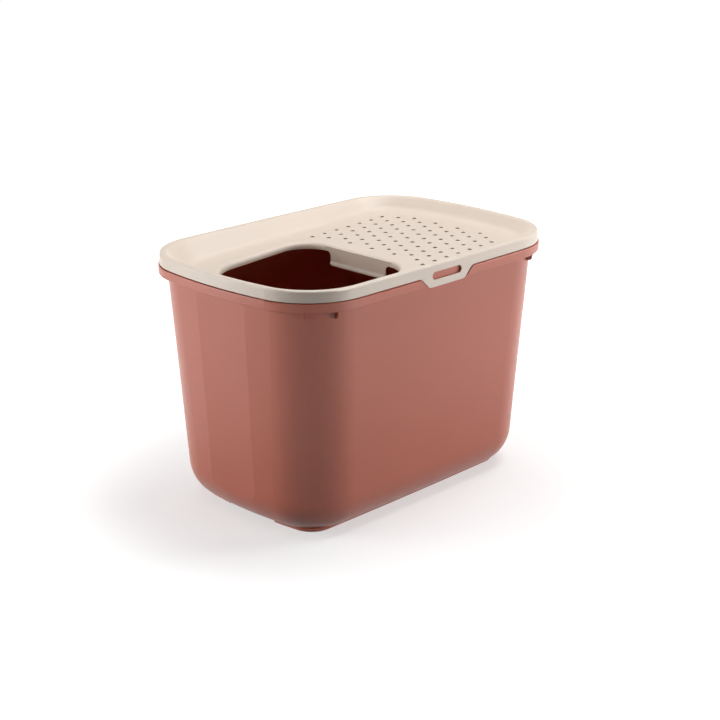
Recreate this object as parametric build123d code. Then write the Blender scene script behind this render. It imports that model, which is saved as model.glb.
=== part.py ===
from build123d import *
import math
import os

# Top-entry cat litter box: a deep tapered tub, a dished lid with an entry hole and
# drain holes, and two latch tabs that hang from the lid's skirt. Millimetres.
# X runs along the length (entry hole towards -X), Y across, Z up from the floor.

# ---- overall size, measured over the tub's collar and the lid's rim
LENGTH = 585.0
WIDTH = 390.0
HEIGHT = 395.0
OVERCUT = 20.0
CORNER_R = 104.0
END_BOW = 5.5
SIDE_BOW = 1.5

# ---- tub
WALL = 2.5
DRAFT = 3.15
RIM_Z = 387.0
RIM_INSET = 12.0
BASE_CORNER_R = 125.0
BASE_FILLET = 60.5
BASE_Z = 7.0
COLLAR_TOP = 377.0
COLLAR_BOTTOM = 363.4
COLLAR_ROUND = 1.0
COLLAR_CHAMFER = 0.8
FOOT_WIDTH = 14.0
FOOT_ROUND = 6.0
FOOT_GAP = 54.0
FLAT_HALF = 53.0
RIB_THICK = 2.4
RIB_BOTTOM = 350.0
RIB_TOP_SETBACK = 1.5
RIB_LOW_SETBACK = 3.5
RIB_ANGLES = (40.5, 70.0)

# ---- lid
LID_WALL = 2.4
SKIRT_BOTTOM = 378.4
SKIRT_INSET = 1.5
SKIRT_DRAFT = 2.7
RIM_ROUND = 2.8
INNER_RIM_ROUND = 6.0
DISH_INSET = 12.0
DISH_SLOPE = 45.0
DISH_ROUND = 20.0
DISH_DEPTH_FLOOR = 55.0
PANEL_Z = 372.2
PANEL_X = 120.0
PANEL_RISE = 0.026
HOLE_D = 7.4
HOLE_LEAD = 0.5
HOLE_PITCH = 27.4
ROW_PITCH = 24.0
HOLES_PER_ROW = 7
OUTER_ROW = 5
MIDDLE_X = 123.6

# ---- entry hole
ENTRY_FRONT_X = 9.0
ENTRY_BACK_X = -217.0
ENTRY_FRONT_HALF = 120.0
ENTRY_BACK_HALF = 104.0
ENTRY_FRONT_R = 48.0
ENTRY_BACK_R = 64.0
ENTRY_ROUND = 6.5
ENTRY_REACH = 8.5
FLANGE_DEPTH = 9.8
APRON_HALF = 60.0
APRON_BOTTOM = 338.4
APRON_ROUND = 8.0
APRON_ROOT = 12.0
APRON_OVERLAP = 2.5
LIP_REACH = 3.6
LIP_HEIGHT = 5.0

# ---- latch tabs
TAB_TOP_HALF = 57.0
TAB_BOTTOM_HALF = 39.0
TAB_BOTTOM = 361.2
TAB_ROUND = 12.0
SLOT_Z = 377.4
SLOT_HALF = 32.5
SLOT_HEIGHT = 12.0
TAB_GAP = 0.1
NOTCH_GAP = 1.6
POCKET_INSET = 5.0
BACKING_THICK = 2.0
BACKING_REACH = 9.0
BOSS_HALF = 31.0
BOSS_HEIGHT = 10.4

# ---- the plan outline: two bowed ends, two bowed sides, four round corners
HALF_L = LENGTH / 2
HALF_W = WIDTH / 2
END_R = ((HALF_W - CORNER_R) ** 2 + END_BOW ** 2) / (2 * END_BOW)
SIDE_R = ((HALF_L - CORNER_R) ** 2 + SIDE_BOW ** 2) / (2 * SIDE_BOW)


def corner_centre():
    """Centre of the corner arc that is tangent to the end arc and the side arc."""
    x = HALF_L - CORNER_R
    y = HALF_W - CORNER_R
    for _ in range(60):
        x = HALF_L - END_R + math.sqrt((END_R - CORNER_R) ** 2 - y * y)
        y = HALF_W - SIDE_R + math.sqrt((SIDE_R - CORNER_R) ** 2 - x * x)
    return x, y


CX, CY = corner_centre()
END_ANGLE = math.atan2(CY, CX - (HALF_L - END_R))
SIDE_ANGLE = math.atan2(CY - (HALF_W - SIDE_R), CX)


def bow_radii(corner):
    """Radii of the end arc and the side arc that meet corners of another radius tangentially."""
    end_rise = 1 - math.cos(END_ANGLE)
    side_rise = 1 - math.sin(SIDE_ANGLE)
    end_run = math.sin(END_ANGLE)
    side_run = math.cos(SIDE_ANGLE)
    length = HALF_L + corner * (side_run - math.cos(END_ANGLE))
    width = HALF_W + corner * (end_run - math.sin(SIDE_ANGLE))
    scale = end_rise * side_rise - side_run * end_run
    end_r = (length * side_rise - side_run * width) / scale
    side_r = (end_rise * width - end_run * length) / scale
    return end_r, side_r


def outline(inset, z, corner=CORNER_R):
    """Face of the plan outline, moved inwards by inset, at height z."""
    pi = math.pi
    end_r, side_r = bow_radii(corner)
    cx = (side_r - corner) * math.cos(SIDE_ANGLE)
    cy = (end_r - corner) * math.sin(END_ANGLE)
    arcs = []
    for turn, side in ((0, 1), (pi, -1)):
        arcs.append((side * (HALF_L - end_r), 0, end_r, turn - END_ANGLE, turn + END_ANGLE))
        arcs.append((side * cx, side * cy, corner, turn + END_ANGLE, turn + SIDE_ANGLE))
        arcs.append((0, side * (HALF_W - side_r), side_r, turn + SIDE_ANGLE, turn + pi - SIDE_ANGLE))
        arcs.append((-side * cx, side * cy, corner, turn + pi - SIDE_ANGLE, turn + pi - END_ANGLE))
    edges = []
    for x, y, radius, start, end in arcs:
        points = []
        for angle in (start, (start + end) / 2, end):
            points.append((x + (radius - inset) * math.cos(angle), y + (radius - inset) * math.sin(angle), z))
        edges.append(ThreePointArc(*points))
    return make_face(edges)


def prism(inset, z_top, z_bottom, draft=0.0):
    """Solid below the outline at z_top that narrows by draft degrees down to z_bottom."""
    narrowing = (z_top - z_bottom) * math.tan(math.radians(draft))
    if draft == 0:
        return extrude(outline(inset, z_top), amount=z_top - z_bottom, dir=(0, 0, -1))
    return loft([outline(inset, z_top), outline(inset + narrowing, z_bottom)], ruled=True)


def box_between(low, high):
    """Box from its lowest corner to its highest corner."""
    size = [high[i] - low[i] for i in range(3)]
    middle = [(high[i] + low[i]) / 2 for i in range(3)]
    return Location(middle) * Box(*size)


def wall_inset(z):
    """Inset of the tub wall's outer face at height z."""
    return RIM_INSET + (RIM_Z - z) * math.tan(math.radians(DRAFT))


def panel_top(x):
    """Height of the lid panel's upper face at x."""
    return PANEL_Z + PANEL_RISE * (x - PANEL_X)


def above_panel(offset):
    """Solid that fills all the space above the panel's upper face moved by offset."""
    reach = LENGTH
    outline_points = [
        (-reach, panel_top(-reach) + offset),
        (reach, panel_top(reach) + offset),
        (reach, HEIGHT + reach),
        (-reach, HEIGHT + reach),
    ]
    profile = Plane.XZ * Polyline(*outline_points, close=True)
    return extrude(make_face(profile), amount=WIDTH, both=True)


def tapered_body(shrink, top):
    """Tub wall's shape up to top, moved inwards by shrink: rounded base, a flat field on each end."""
    rim = outline(wall_inset(top) + shrink, top)
    base = outline(wall_inset(shrink) + shrink, shrink, BASE_CORNER_R)
    body = loft([rim, base], ruled=True)
    base_edges = body.edges().group_by(Axis.Z)[0]
    body = fillet(base_edges, BASE_FILLET - shrink)
    flat_depth = FLAT_HALF ** 2 / (2 * END_R)
    top_half = HALF_L - wall_inset(HEIGHT) - shrink - flat_depth
    low_half = HALF_L - wall_inset(-HEIGHT) - shrink - flat_depth
    between_flats = make_face(Plane.XZ * Polyline(
        (-top_half, HEIGHT),
        (-low_half, -HEIGHT),
        (low_half, -HEIGHT),
        (top_half, HEIGHT),
        close=True,
    ))
    return body & extrude(between_flats, amount=WIDTH, both=True)


def corner_ribs():
    """Thin gussets under the collar, a pair at each corner."""
    ribs = []
    for angle in RIB_ANGLES:
        for sx in (-1, 1):
            for sy in (-1, 1):
                direction = Vector(
                    sx * math.cos(math.radians(angle)), sy * math.sin(math.radians(angle)), 0
                )
                tangent = direction.cross(Vector(0, 0, 1))
                frame = Plane(origin=(sx * CX, sy * CY, 0), x_dir=direction, z_dir=tangent)
                wall_low = CORNER_R - wall_inset(RIB_BOTTOM) - 1
                collar_inner = CORNER_R - WALL
                profile = [
                    (wall_low, COLLAR_TOP - WALL / 2),
                    (CORNER_R - WALL / 2, COLLAR_TOP - WALL / 2),
                    (CORNER_R - WALL / 2, COLLAR_BOTTOM + COLLAR_CHAMFER),
                    (collar_inner - RIB_TOP_SETBACK, COLLAR_BOTTOM - COLLAR_CHAMFER),
                    (collar_inner - RIB_LOW_SETBACK, RIB_BOTTOM + RIB_THICK),
                    (wall_low, RIB_BOTTOM),
                ]
                face = make_face(frame * Polyline(*profile, close=True))
                ribs.append(extrude(face, amount=RIB_THICK / 2, both=True))
    return ribs


def side_profile(points_fn, y_side):
    """Solid made by pushing an XZ face through one long side of the box."""
    face = Plane.XZ * points_fn
    solid = extrude(face, amount=WIDTH, both=True)
    half = box_between((-LENGTH, 0, 0), (LENGTH, WIDTH, 2 * HEIGHT))
    if y_side < 0:
        half = box_between((-LENGTH, -WIDTH, 0), (LENGTH, 0, 2 * HEIGHT))
    return solid & half


def tab_face(grow, top):
    """Tab's front view: a wide root that narrows to a round-cornered lower edge."""
    slope = (TAB_TOP_HALF - TAB_BOTTOM_HALF) / (SKIRT_BOTTOM - TAB_BOTTOM)
    side_grow = grow * math.sqrt(1 + slope * slope)
    low = TAB_BOTTOM - grow
    low_half = TAB_BOTTOM_HALF + side_grow - slope * grow
    root_half = TAB_TOP_HALF + side_grow
    root_reach = root_half + 3 * TAB_ROUND
    points = [
        (-root_reach, SKIRT_BOTTOM),
        (-root_half, SKIRT_BOTTOM),
        (-low_half, low),
        (low_half, low),
        (root_half, SKIRT_BOTTOM),
        (root_reach, SKIRT_BOTTOM),
        (root_reach, SKIRT_BOTTOM + OVERCUT),
        (-root_reach, SKIRT_BOTTOM + OVERCUT),
    ]
    face = make_face(Polyline(*points, close=True))
    rounded = [v for v in face.vertices() if v.Y < SKIRT_BOTTOM + 1 and abs(v.X) < root_reach - 1]
    face = fillet(rounded, TAB_ROUND)
    return face & Pos(0, top - HEIGHT / 2) * Rectangle(4 * root_reach, HEIGHT)


def slot_face(half, height):
    """Front view of the latch slot, and of the boss that fills it."""
    return Pos(0, SLOT_Z) * SlotOverall(2 * half, height)


def make_tub():
    body = tapered_body(0, RIM_Z)
    body -= box_between((-LENGTH, -WIDTH, -1), (LENGTH, WIDTH, BASE_Z))

    foot_inset = wall_inset(BASE_Z) + BASE_FILLET
    foot_inset -= math.sqrt(BASE_FILLET ** 2 - (BASE_FILLET - BASE_Z) ** 2)
    foot = prism(foot_inset, BASE_Z + 0.5, 0)
    foot = fillet(foot.edges().group_by(Axis.Z)[0], FOOT_ROUND)
    foot -= prism(foot_inset + FOOT_WIDTH, BASE_Z + 1, -1)
    arch = make_face(Polyline(
        (-FOOT_GAP, -1),
        (FOOT_GAP, -1),
        (FOOT_GAP - BASE_Z / 2, BASE_Z),
        (-FOOT_GAP + BASE_Z / 2, BASE_Z),
        close=True,
    ))
    foot -= extrude(Plane.YZ * arch, amount=LENGTH, both=True)
    body += foot

    collar = prism(0, COLLAR_TOP, COLLAR_BOTTOM)
    collar = fillet(collar.edges().group_by(Axis.Z)[-1], COLLAR_ROUND)
    collar = chamfer(collar.edges().group_by(Axis.Z)[0], COLLAR_CHAMFER)
    collar -= prism(WALL, COLLAR_TOP - WALL, COLLAR_BOTTOM - 1)
    for y_side in (-1, 1):
        notch = side_profile(tab_face(NOTCH_GAP, COLLAR_TOP + OVERCUT), y_side)
        notch -= prism(POCKET_INSET, COLLAR_TOP + OVERCUT, COLLAR_BOTTOM - OVERCUT)
        collar -= notch
        backing = prism(POCKET_INSET, COLLAR_TOP, COLLAR_BOTTOM)
        backing -= prism(POCKET_INSET + BACKING_THICK, COLLAR_TOP + 1, COLLAR_BOTTOM - 1)
        backing_view = Pos(0, COLLAR_TOP) * Rectangle(2 * (TAB_TOP_HALF + BACKING_REACH), 4 * OVERCUT)
        backing &= side_profile(backing_view, y_side)
        boss = prism(POCKET_INSET, COLLAR_TOP + OVERCUT, COLLAR_BOTTOM)
        boss -= prism(RIM_INSET + WALL / 2, COLLAR_TOP + OVERCUT + 1, COLLAR_BOTTOM - 1)
        boss &= side_profile(slot_face(BOSS_HALF, BOSS_HEIGHT), y_side)
        collar += backing
        collar += boss
    body += collar
    for rib in corner_ribs():
        body += rib

    cavity = tapered_body(WALL, HEIGHT)
    cavity -= box_between((-LENGTH, -WIDTH, -1), (LENGTH, WIDTH, BASE_Z + WALL))
    return body - cavity


def dish(inset, offset, round_radius):
    """Tapered bowl over the panel's face moved by offset."""
    bowl = prism(inset, HEIGHT, HEIGHT - DISH_DEPTH_FLOOR, DISH_SLOPE)
    bowl &= above_panel(offset)
    floor = bowl.faces().sort_by(Axis.Z)[0]
    return fillet(floor.edges(), round_radius)


def entry_face(grow):
    """Plan view of the entry hole, moved outwards by grow."""
    points = [
        (ENTRY_FRONT_X, -ENTRY_FRONT_HALF),
        (ENTRY_FRONT_X, ENTRY_FRONT_HALF),
        (ENTRY_BACK_X, ENTRY_BACK_HALF),
        (ENTRY_BACK_X, -ENTRY_BACK_HALF),
    ]
    face = make_face(Polyline(*points, close=True))
    face = fillet(face.vertices().filter_by_position(Axis.X, 0, 100), ENTRY_FRONT_R)
    face = fillet(face.vertices().group_by(Axis.X)[0], ENTRY_BACK_R)
    if grow > 0:
        face = offset(face, grow)
    return face


def entry_flange():
    """Wall that turns down round the entry hole, with a rounded upper edge."""
    layers = []
    for lower in (0, LID_WALL):
        ring = extrude(entry_face(ENTRY_REACH), amount=2 * HEIGHT)
        ring -= extrude(entry_face(lower), amount=2 * HEIGHT)
        ring -= above_panel(-lower)
        ring -= box_between((-LENGTH, -WIDTH, -1), (LENGTH, WIDTH, PANEL_Z - 3 * FLANGE_DEPTH))
        crest = ring.faces().sort_by(Axis.Z)[-1].inner_wires()[0].edges()
        layers.append(fillet(crest, ENTRY_ROUND - lower))
    return (layers[0] - layers[1]) & above_panel(-FLANGE_DEPTH)


def drain_holes():
    """Staggered rows of drain holes in the panel."""
    holes = []
    for row in range(-OUTER_ROW, OUTER_ROW + 1):
        shift = 0.0
        if abs(row) == OUTER_ROW:
            shift = -HOLE_PITCH / 2
        elif row % 2:
            shift = HOLE_PITCH / 2
        for column in range(HOLES_PER_ROW):
            x = MIDDLE_X + shift + (column - (HOLES_PER_ROW - 1) / 2) * HOLE_PITCH
            y = row * ROW_PITCH
            holes.append(Pos(x, y, PANEL_Z) * Cylinder(HOLE_D / 2, 4 * HOLE_D))
            lead = Cone(HOLE_D / 2 - HOLE_LEAD, HOLE_D / 2 + HOLE_LEAD, 2 * HOLE_LEAD)
            holes.append(Pos(x, y, panel_top(x)) * lead)
    return holes


def make_lid():
    skirt_height = HEIGHT - SKIRT_BOTTOM
    narrowing = skirt_height * math.tan(math.radians(SKIRT_DRAFT))
    outer = loft(
        [outline(SKIRT_INSET, SKIRT_BOTTOM), outline(SKIRT_INSET + narrowing, HEIGHT)], ruled=True
    )
    outer = fillet(outer.edges().group_by(Axis.Z)[-1], RIM_ROUND)
    inner_top = HEIGHT - LID_WALL
    inner_inset = SKIRT_INSET + LID_WALL
    inner = loft(
        [outline(inner_inset, SKIRT_BOTTOM), outline(inner_inset + narrowing, inner_top)], ruled=True
    )
    lid = outer - inner

    slope_wall = LID_WALL / math.sin(math.radians(DISH_SLOPE))
    shell = dish(DISH_INSET - slope_wall, -LID_WALL, DISH_ROUND + LID_WALL)
    shell &= box_between((-LENGTH, -WIDTH, 0), (LENGTH, WIDTH, HEIGHT - 1))
    lid += shell
    lid -= dish(DISH_INSET, 0, DISH_ROUND)
    rim_edges = lid.edges().filter_by_position(Axis.Z, HEIGHT - 0.01, HEIGHT + 0.01)
    inner_rim = [e for e in rim_edges if abs(e.center().X) < HALF_L - DISH_INSET + 4]
    inner_rim = [e for e in inner_rim if edge_inset(e) > DISH_INSET - 1]
    lid = fillet(inner_rim, INNER_RIM_ROUND)

    lid -= extrude(entry_face(ENTRY_REACH), amount=2 * HEIGHT)
    lid += entry_flange()
    root_half = APRON_HALF + APRON_ROOT
    root_low = PANEL_Z - FLANGE_DEPTH - APRON_OVERLAP
    root_high = PANEL_Z - LID_WALL - APRON_OVERLAP
    apron_face = make_face(Polyline(
        (-root_half, root_low),
        (-APRON_HALF, root_low),
        (-APRON_HALF, APRON_BOTTOM),
        (APRON_HALF, APRON_BOTTOM),
        (APRON_HALF, root_low),
        (root_half, root_low),
        (root_half, root_high),
        (-root_half, root_high),
        close=True,
    ))
    rounded = [v for v in apron_face.vertices() if abs(abs(v.X) - APRON_HALF) < 1]
    apron_face = fillet(rounded, APRON_ROUND)
    apron = extrude(Plane.YZ.offset(ENTRY_FRONT_X) * apron_face, amount=LID_WALL)
    lip = make_face(Polyline(
        (ENTRY_FRONT_X + LID_WALL / 2, APRON_BOTTOM - 1),
        (ENTRY_FRONT_X - LIP_REACH, APRON_BOTTOM - 1),
        (ENTRY_FRONT_X - LIP_REACH, APRON_BOTTOM + LIP_HEIGHT / 2),
        (ENTRY_FRONT_X, APRON_BOTTOM + LIP_HEIGHT + 1),
        (ENTRY_FRONT_X + LID_WALL / 2, APRON_BOTTOM + LIP_HEIGHT + 1),
        close=True,
    ))
    lip_room = extrude(Plane.YZ.offset(ENTRY_FRONT_X - 2 * LIP_REACH) * apron_face, amount=3 * LIP_REACH)
    apron += extrude(Plane.XZ * lip, amount=APRON_HALF, both=True) & lip_room
    lid += apron
    lid -= drain_holes()
    slot = extrude(Plane.XZ * slot_face(SLOT_HALF, SLOT_HEIGHT), amount=WIDTH, both=True)
    lid -= slot - prism(RIM_INSET, HEIGHT, SKIRT_BOTTOM - SLOT_HEIGHT)
    return lid


def edge_inset(edge):
    """How far an edge's start point lies inside the plan outline, near a side or an end."""
    point = edge @ 0
    x = abs(point.X)
    y = abs(point.Y)
    if x > CX and y > CY:
        return CORNER_R - math.hypot(x - CX, y - CY)
    return min(HALF_L - x, HALF_W - y)


def make_tab(y_side):
    """Latch tab below the skirt, with the lower half of the latch slot."""
    rise = HEIGHT - SKIRT_BOTTOM
    flare = rise * math.tan(math.radians(SKIRT_DRAFT))
    low = SKIRT_BOTTOM - 2 * rise
    ring = loft(
        [outline(SKIRT_INSET, SKIRT_BOTTOM), outline(SKIRT_INSET - 2 * flare, low)], ruled=True
    )
    ring -= loft(
        [
            outline(SKIRT_INSET + LID_WALL, SKIRT_BOTTOM),
            outline(SKIRT_INSET + LID_WALL - 2 * flare, low),
        ],
        ruled=True,
    )
    shape = tab_face(0, SKIRT_BOTTOM - TAB_GAP) - slot_face(SLOT_HALF, SLOT_HEIGHT)
    return ring & side_profile(shape, y_side)


def main():
    os.makedirs("parts", exist_ok=True)
    parts = {
        "tub": make_tub(),
        "lid": make_lid(),
        "front_latch_tab": make_tab(-1),
        "rear_latch_tab": make_tab(1),
    }
    for name, shape in parts.items():
        solids = shape.solids()
        shape = solids[0] if len(solids) == 1 else Compound(children=list(solids))
        export_step(shape, "parts/" + name + ".step")
        print(name, len(solids), round(shape.volume), shape.bounding_box())


main()
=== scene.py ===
import bpy
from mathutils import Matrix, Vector

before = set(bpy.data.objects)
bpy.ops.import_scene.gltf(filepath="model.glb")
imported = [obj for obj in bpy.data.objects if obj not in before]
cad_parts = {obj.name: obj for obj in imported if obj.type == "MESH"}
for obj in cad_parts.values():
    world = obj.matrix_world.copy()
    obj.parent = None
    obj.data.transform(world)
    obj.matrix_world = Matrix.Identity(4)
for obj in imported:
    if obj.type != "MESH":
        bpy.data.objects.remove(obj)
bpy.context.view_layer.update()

# Top-entry cat litter box: a terracotta tub and a cream lid, on white paper in a bright studio.
# Metres, in the frame's own axes.

# ---- plastics: two close shades that drift into each other, and the middle roughness
TERRACOTTA = (0.53, 0.128, 0.071)
TERRACOTTA_SHADE = (0.51, 0.120, 0.066)
TERRACOTTA_ROUGHNESS = 0.34
CREAM = (0.785, 0.672, 0.572)
CREAM_SHADE = (0.765, 0.652, 0.552)
CREAM_ROUGHNESS = 0.40
PLASTIC_IOR = 1.49
GLOSS = 0.62

# noise: features for each metre, and octaves of detail
COLOUR_NOISE = (7, 3)
GLOSS_NOISE = (60, 4)
WAVE_NOISE = (16, 2)
GRAIN_NOISE = (900, 3)
NOISE_LOW = 0.3
NOISE_HIGH = 0.7
SMOOTHER = 0.04
ROUGHER = 0.05

# bumps: strength and height
WAVE_BUMP = (0.3, 0.002)
GRAIN_BUMP = (0.08, 0.0004)

# ---- floor: how bright it glows near the part, dimmed there as a painted shadow, and far from it, and where the change lies
FLOOR_SIZE = 40.0
FLOOR_ALBEDO = 0.55
FLOOR_ROUGHNESS = 0.9
FLOOR_GLOW_PAINTED_SHADOW = 0.52
FLOOR_GLOW_FAR = 1.0
PAINTED_SHADOW_FADE_FROM = 0.30
PAINTED_SHADOW_FADE_TO = 0.72

# ---- surround: white at the horizon, dim overhead; the change lies between two sines of height
COVE_FROM = 0.12
COVE_TO = 0.40
COVE_TOP = 0.25

# ---- soft boxes: place, side and power in watts
SOFT_BOXES = {
    "left": ((-2.3, 0.5, 0.9), 1.4, 8.4),
    "left_low": ((-1.9, 1.6, 0.55), 1.0, 33.7),
    "right_low": ((0.8, -2.3, 0.4), 0.8, 19.4),
    "end_low": ((2.3, -1.3, 0.55), 1.0, 25.9),
    "overhead_left": ((-0.8, 0.5, 2.3), 1.4, 8.8),
    "overhead": ((0.8, -0.3, 2.3), 1.4, 36.5),
    "overhead_back": ((0.7, 1.1, 2.1), 1.4, 7.0),
}
LIGHT_TARGET = Vector((0, 0, 0.2))

# ---- camera: in front of the near corner and above it
CAMERA_LENS = 78.88
CAMERA_SENSOR = 36
CAMERA_PLACE = (-1.69895, -1.66442, 1.01272)
CAMERA_DIRECTION = (0.67823, 0.65888, -0.32540)


def node_material(name):
    """A new material; returns it with its nodes, its links and its Principled shader."""
    material = bpy.data.materials.new(name)
    material.use_nodes = True
    nodes = material.node_tree.nodes
    return material, nodes, material.node_tree.links, nodes["Principled BSDF"]


def map_range(nodes, source, interval, result):
    """A Map Range node that turns an interval of a value into a result interval."""
    node = nodes.new("ShaderNodeMapRange")
    node.inputs["From Min"].default_value = interval[0]
    node.inputs["From Max"].default_value = interval[1]
    node.inputs["To Min"].default_value = result[0]
    node.inputs["To Max"].default_value = result[1]
    node.id_data.links.new(source, node.inputs["Value"])
    return node


def smooth_range(nodes, source, interval, result):
    """The same, with a soft start and end."""
    node = map_range(nodes, source, interval, result)
    node.interpolation_type = "SMOOTHSTEP"
    return node


def moulded_plastic(name, colour, shade, roughness):
    """Satin moulded plastic: drifting colour, uneven gloss, slightly wavy walls and a fine grain."""
    material, nodes, links, shader = node_material(name)
    where = nodes.new("ShaderNodeTexCoord").outputs["Object"]

    def noise(scale, detail):
        node = nodes.new("ShaderNodeTexNoise")
        node.inputs["Scale"].default_value = scale
        node.inputs["Detail"].default_value = detail
        links.new(where, node.inputs["Vector"])
        return node.outputs["Fac"]

    def spread(value, low, high):
        return map_range(nodes, value, (NOISE_LOW, NOISE_HIGH), (low, high)).outputs["Result"]

    def bump(height, strength, distance):
        node = nodes.new("ShaderNodeBump")
        node.inputs["Strength"].default_value = strength
        node.inputs["Distance"].default_value = distance
        links.new(height, node.inputs["Height"])
        return node

    mix = nodes.new("ShaderNodeMix")
    mix.data_type = "RGBA"
    mix.inputs["A"].default_value = (*colour, 1)
    mix.inputs["B"].default_value = (*shade, 1)
    links.new(spread(noise(*COLOUR_NOISE), 0.0, 1.0), mix.inputs["Factor"])
    links.new(mix.outputs["Result"], shader.inputs["Base Color"])

    gloss = spread(noise(*GLOSS_NOISE), roughness - SMOOTHER, roughness + ROUGHER)
    links.new(gloss, shader.inputs["Roughness"])

    waviness = bump(noise(*WAVE_NOISE), *WAVE_BUMP)
    grain = bump(noise(*GRAIN_NOISE), *GRAIN_BUMP)
    links.new(waviness.outputs["Normal"], grain.inputs["Normal"])
    links.new(grain.outputs["Normal"], shader.inputs["Normal"])

    shader.inputs["IOR"].default_value = PLASTIC_IOR
    shader.inputs["Specular IOR Level"].default_value = GLOSS
    return material


def white_paper_with_painted_shadow():
    """Matt white paper whose glow is dimmer near the part, a painted shadow round it, so that its real
    soft shadow shows too.
    """
    material, nodes, links, shader = node_material("floor_paper_painted_shadow")
    shader.inputs["Base Color"].default_value = (FLOOR_ALBEDO, FLOOR_ALBEDO, FLOOR_ALBEDO, 1)
    shader.inputs["Roughness"].default_value = FLOOR_ROUGHNESS
    shader.inputs["Specular IOR Level"].default_value = 0.0
    distance = nodes.new("ShaderNodeVectorMath")
    distance.operation = "LENGTH"
    links.new(nodes.new("ShaderNodeTexCoord").outputs["Object"], distance.inputs[0])
    # the glow is dimmer near the part: a painted shadow on the floor around it
    glow_and_painted_shadow = smooth_range(
        nodes,
        distance.outputs["Value"],
        (PAINTED_SHADOW_FADE_FROM, PAINTED_SHADOW_FADE_TO),
        (FLOOR_GLOW_PAINTED_SHADOW, FLOOR_GLOW_FAR),
    )
    links.new(glow_and_painted_shadow.outputs["Result"], shader.inputs["Emission Color"])
    shader.inputs["Emission Strength"].default_value = 1.0
    return material


def make_floor():
    """A large plane under the part, which throws no light back on to it."""
    bpy.ops.mesh.primitive_plane_add(size=FLOOR_SIZE, location=(0, 0, 0))
    floor = bpy.context.object
    floor.name = "floor"
    floor.data.materials.append(white_paper_with_painted_shadow())
    floor.visible_diffuse = False


def make_surround():
    """A world that is white at the horizon and dim overhead, seen in reflections and behind the floor."""
    world = bpy.data.worlds.new("studio")
    bpy.context.scene.world = world
    world.use_nodes = True
    nodes = world.node_tree.nodes
    links = world.node_tree.links
    height = nodes.new("ShaderNodeSeparateXYZ")
    links.new(nodes.new("ShaderNodeTexCoord").outputs["Generated"], height.inputs[0])
    cove = smooth_range(nodes, height.outputs["Z"], (COVE_FROM, COVE_TO), (1.0, COVE_TOP))
    links.new(cove.outputs["Result"], nodes["Background"].inputs["Color"])
    world.cycles_visibility.diffuse = False


def make_soft_box(name, location, size, power):
    """A square area light turned towards the part."""
    data = bpy.data.lights.new(name, "AREA")
    data.shape = "SQUARE"
    data.size = size
    data.energy = power
    light = bpy.data.objects.new(name, data)
    light.location = location
    aim = LIGHT_TARGET - Vector(location)
    light.rotation_euler = aim.to_track_quat("-Z", "Y").to_euler()
    bpy.context.scene.collection.objects.link(light)


def make_camera():
    """The camera, looking down at the near corner."""
    data = bpy.data.cameras.new("camera")
    data.lens = CAMERA_LENS
    data.sensor_width = CAMERA_SENSOR
    camera = bpy.data.objects.new("camera", data)
    camera.location = CAMERA_PLACE
    camera.rotation_mode = "QUATERNION"
    camera.rotation_quaternion = Vector(CAMERA_DIRECTION).to_track_quat("-Z", "Y")
    bpy.context.scene.collection.objects.link(camera)
    bpy.context.scene.camera = camera


tub_plastic = moulded_plastic("terracotta_plastic", TERRACOTTA, TERRACOTTA_SHADE, TERRACOTTA_ROUGHNESS)
lid_plastic = moulded_plastic("cream_plastic", CREAM, CREAM_SHADE, CREAM_ROUGHNESS)
for name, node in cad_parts.items():
    node.data.materials.clear()
    node.data.materials.append(tub_plastic if name == "tub" else lid_plastic)

make_floor()
make_surround()
for name, (location, size, power) in SOFT_BOXES.items():
    make_soft_box(name, location, size, power)
make_camera()
bpy.context.scene.view_settings.view_transform = "Standard"
